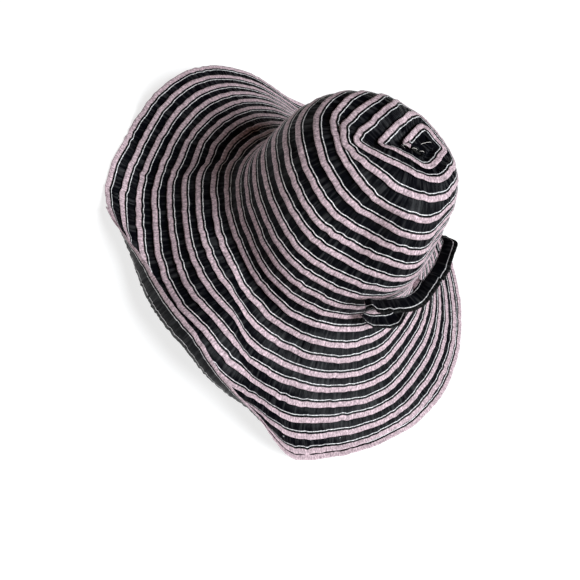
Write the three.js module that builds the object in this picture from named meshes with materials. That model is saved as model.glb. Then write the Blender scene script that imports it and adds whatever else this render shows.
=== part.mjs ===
import * as THREE from 'three';

// A floppy wide brim sun hat sewn from one long spiral of striped ribbon, with a small loop bow.
// Millimetres, +Z up. The hat rests on its brim and the turned-up side of the brim faces -Y.
// "Turn" is the angle round the crown in degrees: 0 = right (+X), 90 = back (+Y), 270 = front (-Y).
// "Row" counts ribbon rows along the cloth, from 0 at the crown tip to EDGE_ROW at the brim edge.

const EDGE_ROW = 21.9;
const WALL = 2.4;

// Lean of the whole hat, and how much of its lowest cloth the floor presses flat
const LEAN_DEG = -2.4;
const LEAN_BACK_DEG = -3.2;
const REST_SINK = 5;

// Fineness of the mesh
const SECTIONS = 76;
const RINGS = 33;
const STEPS_PER_ROW = 6;
const FULL_TURN = 360;

// Half steps over which the direction square to the cloth is measured
const NORMAL_ROWS = 0.15;
const NORMAL_TURN = 1.5;

// Visible width of one ribbon row, from the tip outwards
const ROW_PITCH = [
  { row: 0, pitch: 12.5 },
  { row: 3.5, pitch: 15.3 },
  { row: 9, pitch: 14.2 },
  { row: 14, pitch: 13.9 },
  { row: 23, pitch: 13.8 },
];

// Fall of the cloth in degrees below level, at named rows of the hat
const STATION_ROWS = {
  tip: 1.5, top: 3, shoulder: 4.5, side: 6, wall: 8, base: 10,
  bend: 12, root: 13.5, inner: 15, middle: 17, outer: 19, edge: 20.9,
};
const FALLS = [
  { turn: 0, tip: -12, top: 36, shoulder: 64, side: 70, wall: 64, base: 80,
    bend: 75, root: 58, inner: 42, middle: 27, outer: 22, edge: 14 },
  { turn: 22.5, tip: -10, top: 38, shoulder: 58, side: 68, wall: 75, base: 78,
    bend: 70, root: 56, inner: 42, middle: 30, outer: 24, edge: 12 },
  { turn: 45, tip: -5, top: 37, shoulder: 55, side: 68, wall: 75, base: 76,
    bend: 68, root: 54, inner: 42, middle: 36, outer: 30, edge: 12 },
  { turn: 67.5, tip: 2, top: 34, shoulder: 52, side: 68, wall: 75, base: 76,
    bend: 66, root: 52, inner: 42, middle: 36, outer: 32, edge: 12 },
  { turn: 90, tip: 3, top: 33, shoulder: 52, side: 68, wall: 75, base: 76,
    bend: 65, root: 50, inner: 42, middle: 36, outer: 32, edge: 12 },
  { turn: 112.5, tip: 0, top: 30, shoulder: 52, side: 68, wall: 75, base: 76,
    bend: 64, root: 50, inner: 40, middle: 36, outer: 34, edge: 20 },
  { turn: 135, tip: -5, top: 30, shoulder: 52, side: 66, wall: 76, base: 78,
    bend: 66, root: 48, inner: 34, middle: 34, outer: 32, edge: 22 },
  { turn: 157.5, tip: -20, top: 25, shoulder: 48, side: 62, wall: 76, base: 80,
    bend: 68, root: 42, inner: 22, middle: 22, outer: 22, edge: 14 },
  { turn: 180, tip: -33, top: 30, shoulder: 32, side: 55, wall: 78, base: 87,
    bend: 74, root: 36, inner: 18, middle: 27, outer: 10, edge: 15 },
  { turn: 202.5, tip: 5, top: 22, shoulder: 22, side: 50, wall: 74, base: 85,
    bend: 82, root: 45, inner: 38, middle: 38, outer: 26, edge: 12 },
  { turn: 225, tip: 15, top: -5, shoulder: 33, side: 52, wall: 74, base: 80,
    bend: 84, root: 66, inner: 36, middle: 46, outer: 25, edge: -26 },
  { turn: 247.5, tip: -3, top: 9, shoulder: 47, side: 58, wall: 72, base: 79,
    bend: 83, root: 68, inner: 14, middle: 38, outer: 22, edge: -94 },
  { turn: 270, tip: -8, top: 20, shoulder: 66, side: 63, wall: 64, base: 70,
    bend: 81, root: 72, inner: -3, middle: -9, outer: 30, edge: -100 },
  { turn: 292.5, tip: -10, top: 30, shoulder: 82, side: 71, wall: 57, base: 66,
    bend: 72, root: 53, inner: 42, middle: 14, outer: -10, edge: -58 },
  { turn: 315, tip: -5, top: 22, shoulder: 65, side: 73, wall: 63, base: 74,
    bend: 80, root: 40, inner: 32, middle: 38, outer: 30, edge: 6 },
  { turn: 337.5, tip: 0, top: 28, shoulder: 57, side: 62, wall: 68, base: 92,
    bend: 77, root: 38, inner: 34, middle: 28, outer: 31, edge: 34 },
];

// Sharp folds of the cloth. Each starts at one place, is strongest at the "to" place and ends at endRow.
// halfWidth is in degrees, out and up in millimetres
const FOLDS = [
  { name: 'crownPinch', row: 5.5, turn: 50, toRow: 8, toTurn: 50, endRow: 11,
    halfWidth: 32, out: -12, up: 0 },
  { name: 'leftCorner', row: 15, turn: 214, toRow: 21.7, toTurn: 221, endRow: 30,
    halfWidth: 15, out: 4, up: -3 },
  { name: 'rightCorner', row: 17, turn: 306, toRow: 21.7, toTurn: 307, endRow: 30,
    halfWidth: 14, out: 3, up: -1 },
  { name: 'leftValley', row: 12.5, turn: 197, toRow: 16, toTurn: 202, endRow: 19,
    halfWidth: 7, out: -3, up: -3 },
  { name: 'frontRidge', row: 13.5, turn: 249, toRow: 18, toTurn: 283, endRow: 20.5,
    halfWidth: 9, out: 0, up: 5 },
];

// Ribbon strips of the bow. The foot is the ribbon edge by the crown; from there the ribbon stands off
// at "rise" degrees above level, towards "heading" degrees round the hat
const BOW_WALL = 1.4;
const BOW_WIDTH = 21;
const BOW_FOOT_LIFT = 1.2;
const BOW_STEPS = 20;
const BOW_ACROSS = 3;
const BOW_BACK = [
  { turn: 26, footRow: 8.4, rise: 58, heading: 304 },
  { turn: 20, footRow: 8.2, rise: 62, heading: 328 },
  { turn: 13, footRow: 8.4, rise: 50, heading: 340 },
  { turn: 8, footRow: 8.9, rise: 48, heading: 352 },
  { turn: 2, footRow: 9.3, rise: 44, heading: 350 },
  { turn: -6, footRow: 9.2, rise: 45, heading: 341 },
];
const BOW_FRONT = [
  { turn: 352.5, footRow: 9.2, rise: 38, heading: 337 },
  { turn: 349.5, footRow: 9.4, rise: 28, heading: 350 },
  { turn: 346, footRow: 9.6, rise: 16, heading: 354 },
  { turn: 341, footRow: 9.9, rise: 10, heading: 350 },
  { turn: 335, footRow: 9.9, rise: 14, heading: 340 },
  { turn: 329, footRow: 10.0, rise: 22, heading: 326 },
  { turn: 322, footRow: 10.3, rise: 30, heading: 310 },
  { turn: 316, footRow: 10.6, rise: 36, heading: 298 },
];
const BOW_LOWER = [
  { turn: 324, footRow: 11.6, rise: 27, heading: 288 },
  { turn: 331, footRow: 11.9, rise: 12, heading: 302 },
  { turn: 338, footRow: 12.0, rise: 4, heading: 318 },
  { turn: 345, footRow: 12.3, rise: 3, heading: 328 },
  { turn: 351, footRow: 12.6, rise: 20, heading: 322 },
  { turn: 357, footRow: 12.9, rise: 44, heading: 304 },
];

const radians = (degrees) => degrees * Math.PI / 180;
const mix = (a, b, t) => a + (b - a) * t;
const clamp = (value, low, high) => Math.min(high, Math.max(low, value));

// Value of a table column at a place between its rows, straight between neighbours
function between(table, key, column, at) {
  if (at <= table[0][key]) return table[0][column];
  for (let i = 1; i < table.length; i += 1) {
    if (at <= table[i][key]) {
      const share = (at - table[i - 1][key]) / (table[i][key] - table[i - 1][key]);
      return mix(table[i - 1][column], table[i][column], share);
    }
  }
  return table[table.length - 1][column];
}

// Fall at one station for any turn, by a smooth closed curve through the section table
function fallAt(station, turn) {
  const count = FALLS.length;
  const place = ((turn % FULL_TURN + FULL_TURN) % FULL_TURN) * count / FULL_TURN;
  const first = Math.floor(place);
  const t = place - first;
  const [a, b, c, d] = [-1, 0, 1, 2].map((k) => FALLS[(first + k + count) % count][station]);
  const bend = 2 * a - 5 * b + 4 * c - d;
  const twist = 3 * b - a - 3 * c + d;
  return 0.5 * (2 * b + (c - a) * t + bend * t * t + twist * t * t * t);
}

// Radius and height along one section, from the crown tip past the brim edge
function sectionCurve(turn) {
  const stations = [{ row: 0, fall: 0 }];
  for (const [station, row] of Object.entries(STATION_ROWS)) {
    stations.push({ row, fall: fallAt(station, turn) });
  }
  const steps = Math.ceil((EDGE_ROW + NORMAL_ROWS) * STEPS_PER_ROW);
  const points = [{ r: 0, z: 0 }];
  for (let i = 1; i <= steps; i += 1) {
    const row = (i - 0.5) / STEPS_PER_ROW;
    const fall = radians(between(stations, 'row', 'fall', row));
    const length = between(ROW_PITCH, 'row', 'pitch', row) / STEPS_PER_ROW;
    const last = points[i - 1];
    points.push({ r: last.r + length * Math.cos(fall), z: last.z - length * Math.sin(fall) });
  }
  return points;
}

// How far a fold shifts the cloth at a place: a ridge with straight flanks that grows outwards
function foldShift(row, turn) {
  let out = 0;
  let up = 0;
  for (const fold of FOLDS) {
    const along = (row - fold.row) / (fold.toRow - fold.row);
    const ahead = (fold.endRow - row) / (fold.endRow - fold.toRow);
    const strength = clamp(Math.min(along, ahead), 0, 1);
    const centre = fold.turn + (fold.toTurn - fold.turn) * along;
    const away = Math.abs(turn - centre - FULL_TURN * Math.round((turn - centre) / FULL_TURN));
    const share = Math.max(0, 1 - away / fold.halfWidth) * strength;
    out += fold.out * share;
    up += fold.up * share;
  }
  return { out, up };
}

// The hat leans a little because its brim is not equally low all round
const LEAN = new THREE.Euler(-radians(LEAN_BACK_DEG), radians(LEAN_DEG), 0, 'XYZ');

const curveCache = new Map();
function curveFor(turn) {
  if (!curveCache.has(turn)) curveCache.set(turn, sectionCurve(turn));
  return curveCache.get(turn);
}

// Outer face of the cloth before it is set down on the floor
function clothPoint(row, turn) {
  const curve = curveFor(turn);
  const place = row * STEPS_PER_ROW;
  const first = Math.min(Math.floor(place), curve.length - 2);
  const t = place - first;
  const shift = foldShift(row, turn);
  const r = mix(curve[first].r, curve[first + 1].r, t) + shift.out;
  const z = mix(curve[first].z, curve[first + 1].z, t) + shift.up;
  const angle = radians(turn);
  return new THREE.Vector3(r * Math.cos(angle), r * Math.sin(angle), z).applyEuler(LEAN);
}

// Direction square to the cloth, on the outer side
function clothNormal(row, turn) {
  const along = clothPoint(row + NORMAL_ROWS, turn).sub(clothPoint(row - NORMAL_ROWS, turn));
  const across = clothPoint(row, turn + NORMAL_TURN).sub(clothPoint(row, turn - NORMAL_TURN));
  return along.cross(across).normalize();
}

// Closed mesh from an outer and an inner grid of points that share one tip and one open rim
function shellGeometry(outer, inner, outerTip, innerTip) {
  const rings = outer.length;
  const sides = outer[0].length;
  const points = [outerTip, ...outer.flat(), innerTip, ...inner.flat()];
  const innerStart = 1 + rings * sides;
  const at = (start, ring, side) => start + 1 + ring * sides + side % sides;
  const faces = [];
  for (let side = 0; side < sides; side += 1) {
    faces.push([0, at(0, 0, side), at(0, 0, side + 1)]);
    faces.push([innerStart, at(innerStart, 0, side + 1), at(innerStart, 0, side)]);
    for (let ring = 0; ring < rings - 1; ring += 1) {
      for (const [start, turnOver] of [[0, false], [innerStart, true]]) {
        const a = at(start, ring, side);
        const b = at(start, ring + 1, side);
        const c = at(start, ring + 1, side + 1);
        const d = at(start, ring, side + 1);
        if (turnOver) faces.push([a, d, c], [a, c, b]);
        else faces.push([a, b, c], [a, c, d]);
      }
    }
    const a = at(0, rings - 1, side);
    const b = at(innerStart, rings - 1, side);
    const c = at(innerStart, rings - 1, side + 1);
    const d = at(0, rings - 1, side + 1);
    faces.push([a, b, c], [a, c, d]);
  }
  return meshGeometry(points, faces);
}

function meshGeometry(points, faces) {
  const geometry = new THREE.BufferGeometry();
  const positions = points.flatMap((point) => [point.x, point.y, point.z]);
  geometry.setAttribute('position', new THREE.Float32BufferAttribute(positions, 3));
  geometry.setIndex(faces.flat());
  geometry.computeVertexNormals();
  return geometry;
}

// Crown and brim: the cloth is taken as one wall, set down on the floor and pressed flat where it rests
function crownAndBrim() {
  const rows = Array.from({ length: RINGS }, (_, i) => EDGE_ROW * (i + 1) / RINGS);
  const turns = Array.from({ length: SECTIONS }, (_, i) => FULL_TURN * i / SECTIONS);
  const outer = rows.map((row) => turns.map((turn) => clothPoint(row, turn)));
  const inner = rows.map((row, i) => turns.map((turn, j) => (
    outer[i][j].clone().addScaledVector(clothNormal(row, turn), -WALL)
  )));
  const outerTip = clothPoint(0, 0);
  const innerTip = outerTip.clone().add(new THREE.Vector3(0, 0, -WALL));
  const lowest = Math.min(...inner.flat().map((point) => point.z));
  const floor = lowest + REST_SINK;
  rows.forEach((row, i) => turns.forEach((turn, j) => {
    inner[i][j].z = Math.max(inner[i][j].z, floor);
    outer[i][j].z = Math.max(outer[i][j].z, floor + WALL);
  }));
  return shellGeometry(outer, inner, outerTip, innerTip);
}

// Ribbon strip of the bow, from its foot on the crown to its free edge
function bowStrip(stations) {
  const feet = stations.map(({ turn, footRow }) => (
    clothPoint(footRow, turn).addScaledVector(clothNormal(footRow, turn), BOW_FOOT_LIFT)
  ));
  const edges = stations.map(({ rise, heading }, i) => {
    const level = BOW_WIDTH * Math.cos(radians(rise));
    const way = radians(heading);
    const up = BOW_WIDTH * Math.sin(radians(rise));
    return feet[i].clone().add(new THREE.Vector3(level * Math.cos(way), level * Math.sin(way), up));
  });
  const footCurve = new THREE.CatmullRomCurve3(feet, false, 'centripetal');
  const edgeCurve = new THREE.CatmullRomCurve3(edges, false, 'centripetal');
  const grid = [];
  for (let i = 0; i <= BOW_STEPS; i += 1) {
    const a = footCurve.getPoint(i / BOW_STEPS);
    const b = edgeCurve.getPoint(i / BOW_STEPS);
    grid.push(Array.from({ length: BOW_ACROSS + 1 }, (_, j) => a.clone().lerp(b, j / BOW_ACROSS)));
  }
  return sheetGeometry(grid, BOW_WALL);
}

// Closed mesh of a thin sheet: the grid is its middle, thickened to both sides
function sheetGeometry(grid, wall) {
  const last = grid.length - 1;
  const width = grid[0].length;
  const normalAt = (i, j) => {
    const along = grid[Math.min(i + 1, last)][j].clone().sub(grid[Math.max(i - 1, 0)][j]);
    const across = grid[i][Math.min(j + 1, width - 1)].clone().sub(grid[i][Math.max(j - 1, 0)]);
    return along.cross(across).normalize();
  };
  const side = (sign) => grid.flatMap((line, i) => line.map((point, j) => (
    point.clone().addScaledVector(normalAt(i, j), sign * wall / 2)
  )));
  const points = [...side(1), ...side(-1)];
  const back = grid.length * width;
  const at = (i, j, start) => start + i * width + j;
  const faces = [];
  const quad = (a, b, c, d) => faces.push([a, b, c], [a, c, d]);
  for (let i = 0; i < last; i += 1) {
    for (let j = 0; j < width - 1; j += 1) {
      quad(at(i, j, 0), at(i + 1, j, 0), at(i + 1, j + 1, 0), at(i, j + 1, 0));
      quad(at(i, j, back), at(i, j + 1, back), at(i + 1, j + 1, back), at(i + 1, j, back));
    }
    quad(at(i, 0, back), at(i + 1, 0, back), at(i + 1, 0, 0), at(i, 0, 0));
    quad(at(i, width - 1, 0), at(i + 1, width - 1, 0), at(i + 1, width - 1, back), at(i, width - 1, back));
  }
  for (let j = 0; j < width - 1; j += 1) {
    quad(at(0, j, 0), at(0, j + 1, 0), at(0, j + 1, back), at(0, j, back));
    quad(at(last, j, back), at(last, j + 1, back), at(last, j + 1, 0), at(last, j, 0));
  }
  return meshGeometry(points, faces);
}

const RIBBON_LOOK = { color: '#2b2a30', roughness: 0.85, metalness: 0 };
const group = new THREE.Group();
group.name = 'sun_hat';

function addPiece(name, geometry) {
  const mesh = new THREE.Mesh(geometry, new THREE.MeshStandardMaterial(RIBBON_LOOK));
  mesh.name = name;
  group.add(mesh);
}

addPiece('crown_and_brim', crownAndBrim());
addPiece('bow_back_strip', bowStrip(BOW_BACK));
addPiece('bow_front_strip', bowStrip(BOW_FRONT));
addPiece('bow_lower_loop', bowStrip(BOW_LOWER));

// The origin is the middle of the floor under the hat
const box = new THREE.Box3().setFromObject(group);
const shift = new THREE.Vector3(-(box.min.x + box.max.x) / 2, -(box.min.y + box.max.y) / 2, -box.min.z);
for (const mesh of group.children) mesh.geometry.translate(shift.x, shift.y, shift.z);

export default group;
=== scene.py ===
# %% [markdown]
# # A wide brim sun hat
# The hat is sewn from one long ribbon. The ribbon starts at the crown tip and runs round and round
# down the crown and out over the brim, each row lapped over the next one like roof shingles.
# The CAD frame gives the solid that the hat fills. This script dresses it: the real ribbon rows,
# the bow, the thread and the light. Each step first says what the thing is on a real hat.

# %% Load the frame
import math

import bpy
import numpy as np
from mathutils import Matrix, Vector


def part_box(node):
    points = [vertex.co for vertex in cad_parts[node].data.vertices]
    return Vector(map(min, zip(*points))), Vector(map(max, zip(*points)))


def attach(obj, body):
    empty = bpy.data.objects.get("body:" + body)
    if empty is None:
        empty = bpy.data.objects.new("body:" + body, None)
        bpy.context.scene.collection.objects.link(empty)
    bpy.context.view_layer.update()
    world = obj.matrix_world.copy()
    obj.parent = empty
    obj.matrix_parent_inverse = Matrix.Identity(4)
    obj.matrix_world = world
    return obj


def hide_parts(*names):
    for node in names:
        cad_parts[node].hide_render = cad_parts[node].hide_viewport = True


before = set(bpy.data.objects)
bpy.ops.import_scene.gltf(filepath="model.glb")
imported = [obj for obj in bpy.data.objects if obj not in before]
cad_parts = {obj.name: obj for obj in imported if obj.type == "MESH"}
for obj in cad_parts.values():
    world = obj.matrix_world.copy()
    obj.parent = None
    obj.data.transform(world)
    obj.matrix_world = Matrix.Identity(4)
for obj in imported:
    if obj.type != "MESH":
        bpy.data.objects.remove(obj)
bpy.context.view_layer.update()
MM = 0.001
FULL_TURN = 360.0

# %% [markdown]
# ## The cloth as a surface
# A hat's cloth is easiest to describe along its own rows: go out from the tip row by row, and at each
# row say how steeply the cloth falls. Sixteen such sections round the hat make the whole floppy form.
# "Turn" is the angle round the crown, 0 at the right, 90 at the back and 270 at the front. "Row" counts
# ribbon rows from the tip. These are the same sizes as in the CAD part, so both have the same form.
#
# The falls of the sections that show began as a least-squares fit to the ribbon rows in the photograph,
# made by another script. They were then rounded, and part of them changed. The sections at the back,
# from turn 45 to 135, were given one by one.

# %% Named sizes of the cloth
# In millimetres, degrees and ribbon rows
WALL = 2.4
LEAN_DEG = -2.4
LEAN_BACK_DEG = -3.2
REST_SINK = 5.0
CAD_EDGE_ROW = 21.9
CAD_SECTIONS = 76
CAD_RINGS = 33
NORMAL_ROWS = 0.15
NORMAL_TURN = 1.5
FRONT_TURN = 270.0

ROW_PITCH = np.array([
    # row, visible width of a ribbon row
    (0, 12.5), (3.5, 15.3), (9, 14.2), (14, 13.9), (23, 13.8),
])
STATION_ROWS = np.array([0, 1.5, 3, 4.5, 6, 8, 10, 12, 13.5, 15, 17, 19, 20.9])
FALLS = np.array([
    # turn, then degrees below level at:
    #       tip top shoulder side wall base bend root inner middle outer edge
    (0, -12, 36, 64, 70, 64, 80, 75, 58, 42, 27, 22, 14),
    (22.5, -10, 38, 58, 68, 75, 78, 70, 56, 42, 30, 24, 12),
    (45, -5, 37, 55, 68, 75, 76, 68, 54, 42, 36, 30, 12),
    (67.5, 2, 34, 52, 68, 75, 76, 66, 52, 42, 36, 32, 12),
    (90, 3, 33, 52, 68, 75, 76, 65, 50, 42, 36, 32, 12),
    (112.5, 0, 30, 52, 68, 75, 76, 64, 50, 40, 36, 34, 20),
    (135, -5, 30, 52, 66, 76, 78, 66, 48, 34, 34, 32, 22),
    (157.5, -20, 25, 48, 62, 76, 80, 68, 42, 22, 22, 22, 14),
    (180, -33, 30, 32, 55, 78, 87, 74, 36, 18, 27, 10, 15),
    (202.5, 5, 22, 22, 50, 74, 85, 82, 45, 38, 38, 26, 12),
    (225, 15, -5, 33, 52, 74, 80, 84, 66, 36, 46, 25, -26),
    (247.5, -3, 9, 47, 58, 72, 79, 83, 68, 14, 38, 22, -94),
    (270, -8, 20, 66, 63, 64, 70, 81, 72, -3, -9, 30, -100),
    (292.5, -10, 30, 82, 71, 57, 66, 72, 53, 42, 14, -10, -58),
    (315, -5, 22, 65, 73, 63, 74, 80, 40, 32, 38, 30, 6),
    (337.5, 0, 28, 57, 62, 68, 92, 77, 38, 34, 28, 31, 34),
])
FOLDS = [
    dict(name="crown pinch", row=5.5, turn=50, to_row=8, to_turn=50, end_row=11,
         half_width=32, out=-12, up=0),
    dict(name="left corner", row=15, turn=214, to_row=21.7, to_turn=221, end_row=30,
         half_width=15, out=4, up=-3),
    dict(name="right corner", row=17, turn=306, to_row=21.7, to_turn=307, end_row=30,
         half_width=14, out=3, up=-1),
    dict(name="left valley", row=12.5, turn=197, to_row=16, to_turn=202, end_row=19,
         half_width=7, out=-3, up=-3),
    dict(name="front ridge", row=13.5, turn=249, to_row=18, to_turn=283, end_row=20.5,
         half_width=9, out=0, up=5),
]
print("sections:", len(FALLS), "folds:", [fold["name"] for fold in FOLDS])

# %% Integrate the falls into radius and height
FINE_STEPS = 24
FINE_TURNS = 720
LAST_ROW = 23.0


def falls_at(turns):
    """Falls at every station for each turn, by a smooth closed curve through the sections."""
    table = FALLS[:, 1:].astype(float)
    place = (np.asarray(turns) % FULL_TURN) / (FULL_TURN / len(table))
    first = np.floor(place).astype(int)
    t = (place - first)[:, None]
    a, b, c, d = [table[(first + k) % len(table)] for k in (-1, 0, 1, 2)]
    bend = 2 * a - 5 * b + 4 * c - d
    twist = 3 * b - a - 3 * c + d
    return 0.5 * (2 * b + (c - a) * t + bend * t ** 2 + twist * t ** 3)


def integrate_sections(turns, steps_per_row):
    """Radius and height along each section, one line per turn, one column per step."""
    falls = np.hstack([np.zeros((len(turns), 1)), falls_at(turns)])
    rows = (np.arange(int(LAST_ROW * steps_per_row)) + 0.5) / steps_per_row
    angles = np.radians([np.interp(rows, STATION_ROWS, line) for line in falls])
    lengths = np.interp(rows, ROW_PITCH[:, 0], ROW_PITCH[:, 1]) / steps_per_row
    start = np.zeros((len(turns), 1))
    radius = np.hstack([start, np.cumsum(np.cos(angles) * lengths, axis=1)])
    height = np.hstack([start, -np.cumsum(np.sin(angles) * lengths, axis=1)])
    return radius, height


FINE_RADIUS, FINE_HEIGHT = integrate_sections(
    np.arange(FINE_TURNS) * FULL_TURN / FINE_TURNS, FINE_STEPS)
edge_radius = FINE_RADIUS[:, -FINE_STEPS]
print("radius at the brim edge: %.0f to %.0f mm" % (edge_radius.min(), edge_radius.max()))


# %% Place any row and turn in space
def read_table(table, row, turn):
    """Value between the neighbours of a fine table, also for a row just past its ends."""
    across = (turn % FULL_TURN) * FINE_TURNS / FULL_TURN
    i = np.floor(across).astype(int)
    s = across - i
    along = row * FINE_STEPS
    j = np.clip(np.floor(along).astype(int), 0, table.shape[1] - 2)
    t = along - j
    low = table[i % FINE_TURNS, j] * (1 - t) + table[i % FINE_TURNS, j + 1] * t
    high = table[(i + 1) % FINE_TURNS, j] * (1 - t) + table[(i + 1) % FINE_TURNS, j + 1] * t
    return low * (1 - s) + high * s


def fold_shift(row, turn):
    """How far the folds move the cloth outwards and up."""
    out = np.zeros(np.broadcast(row, turn).shape)
    up = out.copy()
    for fold in FOLDS:
        along = (row - fold["row"]) / (fold["to_row"] - fold["row"])
        ahead = (fold["end_row"] - row) / (fold["end_row"] - fold["to_row"])
        strength = np.clip(np.minimum(along, ahead), 0, 1)
        centre = fold["turn"] + (fold["to_turn"] - fold["turn"]) * along
        away = np.abs((turn - centre + FULL_TURN / 2) % FULL_TURN - FULL_TURN / 2)
        share = np.clip(1 - away / fold["half_width"], 0, None) * strength
        out = out + fold["out"] * share
        up = up + fold["up"] * share
    return out, up


def cloth_outer(row, turn):
    """Outer face of the cloth in mm, before the hat is set down; the tip is the origin."""
    out, up = fold_shift(row, turn)
    r = read_table(FINE_RADIUS, row, turn) + out
    z = read_table(FINE_HEIGHT, row, turn) + up
    angle, lean, back = np.radians(turn), math.radians(LEAN_DEG), math.radians(LEAN_BACK_DEG)
    x, y = r * np.cos(angle), r * np.sin(angle)
    x, z = x * math.cos(lean) + z * math.sin(lean), z * math.cos(lean) - x * math.sin(lean)
    y, z = y * math.cos(back) + z * math.sin(back), z * math.cos(back) - y * math.sin(back)
    return np.stack([x, y, z], -1)


def unit(vectors):
    """The same directions, each one unit long."""
    return vectors / np.linalg.norm(vectors, axis=-1, keepdims=True)


def cloth_normal(row, turn):
    """Direction square to the cloth, on its outer side."""
    row = np.maximum(row, 2 * NORMAL_ROWS)
    along = cloth_outer(row + NORMAL_ROWS, turn) - cloth_outer(row - NORMAL_ROWS, turn)
    across = cloth_outer(row, turn + NORMAL_TURN) - cloth_outer(row, turn - NORMAL_TURN)
    return unit(np.cross(along, across))


front_rim = cloth_outer(np.array([CAD_EDGE_ROW]), np.array([FRONT_TURN]))[0]
print("front of the brim, in mm from the tip:", front_rim.round(0))

# %% Find the floor and the middle of the hat, as the CAD part does
cad_rows = CAD_EDGE_ROW * (np.arange(CAD_RINGS) + 1) / CAD_RINGS
cad_turns = FULL_TURN * np.arange(CAD_SECTIONS) / CAD_SECTIONS
ROW_GRID, TURN_GRID = np.meshgrid(cad_rows, cad_turns, indexing="ij")
outer_grid = cloth_outer(ROW_GRID, TURN_GRID)
inner_grid = outer_grid - WALL * cloth_normal(ROW_GRID, TURN_GRID)
FLOOR_Z = inner_grid[..., 2].min() + REST_SINK
both = np.concatenate([outer_grid.reshape(-1, 3), inner_grid.reshape(-1, 3)])
MIDDLE = np.array([*(both[:, :2].min(0) + both[:, :2].max(0)) / 2, FLOOR_Z])
low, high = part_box("crown_and_brim")
print("middle of the floor in mm, from the tip:", MIDDLE.round(2))
print("difference from the CAD box in mm:", np.round([
    both[:, 0].max() - MIDDLE[0] - high[0] / MM, both[:, 1].max() - MIDDLE[1] - high[1] / MM,
    -MIDDLE[2] - high[2] / MM], 2))

# %% [markdown]
# ## The one long ribbon
# A milliner laps each row of the ribbon over the next one and stitches them together, so every row
# shows its pink edge, a black line, a white line and part of its wide black band. The other edge is
# hidden on top and shows from below. Here the ribbon is one strip of mesh that runs the same way:
# a path that winds round the hat, and at every step of the path a thin cross-section that follows the
# cloth. The strip is tilted a little, so that each row really lies on the next. Sewing a straight
# ribbon into a curve gathers its long side into small puckers, and these are waves of fixed random
# numbers along the path.

# %% Sizes of the ribbon
RIBBON_WIDTH = 21.0
RIBBON_THICKNESS = 0.45
# The pink edge stands this much further off the hat than the other edge
RIBBON_TILT = 1.5
# The ribbon is laid on a face this deep in the CAD cloth, and at least this high over the floor
REFERENCE_DEPTH = 1.0
FLOOR_LIFT = 0.95
PATH_STEP = 0.75
# Wind counts turns: where the path starts and ends, and the row of its pink edge at wind 0
WIND_START = -1.97
WIND_END = 20.12
EDGE_AT_WIND_0 = 2.73
LAST_TURN = np.array([
    # wind, row of the ribbon's outer edge
    (18.5, 21.23), (18.75, 21.40), (19.0, 21.60), (19.12, 21.80), (19.29, 22.12),
    (19.5, 22.1), (19.75, 22.03), (19.87, 21.87), (20.0, 22.06), (20.12, 21.95),
])
print("ribbon width and thickness in mm:", RIBBON_WIDTH, RIBBON_THICKNESS)


def wind_turn(wind):
    """The ribbon runs clockwise seen from above; wind counts its full turns."""
    return FRONT_TURN - FULL_TURN * wind


def edge_row(wind):
    """Row of the ribbon's pink edge: one row further out each turn, until it meets the brim edge."""
    free = wind + EDGE_AT_WIND_0
    return np.where(wind < LAST_TURN[0, 0], free, np.interp(wind, LAST_TURN[:, 0], LAST_TURN[:, 1]))


# %% Smooth steps and random waves
WAVE_KNOTS = 20000
WAVES = {
    # wavelength in mm, seed
    "pucker": (2.0, 3),
    "swell": (9.0, 4),
    "edge": (4.2, 5),
    "slant": (30.0, 6),
    "side": (5.5, 21),
}


def smooth_step(value, start, end):
    """From 0 at the start to 1 at the end, level at both."""
    t = np.clip((value - start) / (end - start), 0, 1)
    return t * t * (3 - 2 * t)


def wave_along(length, wavelength, seed):
    """Smooth random wave between -1 and 1 along the ribbon."""
    knots = np.random.default_rng(seed).uniform(-1, 1, WAVE_KNOTS)
    place = length / wavelength
    first = np.floor(place).astype(int)
    t = smooth_step(place - first, 0, 1)
    return knots[first] * (1 - t) + knots[first + 1] * t


print("wavelengths in mm:", {name: wavelength for name, (wavelength, _) in WAVES.items()})

# %% How high the ribbon stands off the cloth
PUCKER_DEPTH = 1.4
PUCKER_SHARE = 0.7
PUCKER_SLANT = 0.12
GATHER_FADE = (5.5, 10.0)
GATHER_LESS_AT_START = 0.7
EDGE_WAVE = 0.45
EDGE_WAVE_REACH = 4.0
# The first straight end lies on top of the rows round it, level and a little raised
START_LIFT = 0.35
START_FADE = (-1.6, -1.35)
# The inner edge of the first turns is pressed down, and the last end is tucked under
TIP_SINK = 1.3
TIP_SINK_ACROSS = (8.0, 12.0)
TIP_SINK_FADE = (-0.4, 0.3)
END_TUCK = 0.42
END_FADE = (19.3, 20.1)


def ribbon_lift(v, length, wind):
    """Height of the ribbon over its reference face, v mm in from its pink edge."""
    on_top = 1 - smooth_step(wind, *START_FADE)
    tilt = RIBBON_TILT * (0.5 - v / RIBBON_WIDTH * (1 - on_top)) + START_LIFT * on_top
    tuck = END_TUCK * smooth_step(wind, *END_FADE)
    gather = smooth_step(v, *GATHER_FADE) * (1 - GATHER_LESS_AT_START * on_top)
    slant = length + PUCKER_SLANT * v * wave_along(length, *WAVES["slant"])
    puckers = PUCKER_SHARE * wave_along(slant, *WAVES["pucker"])
    swells = (1 - PUCKER_SHARE) * wave_along(length, *WAVES["swell"])
    edge = EDGE_WAVE * np.exp(-(v / EDGE_WAVE_REACH) ** 2) * (1 + wave_along(length, *WAVES["edge"])) / 2
    sink = TIP_SINK * smooth_step(v, *TIP_SINK_ACROSS) * (1 - on_top)
    sink = sink * (1 - smooth_step(wind, *TIP_SINK_FADE))
    return tilt - tuck - sink - PUCKER_DEPTH * gather * (1 - puckers - swells) / 2 + edge


print("pucker depth in mm:", PUCKER_DEPTH)

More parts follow.
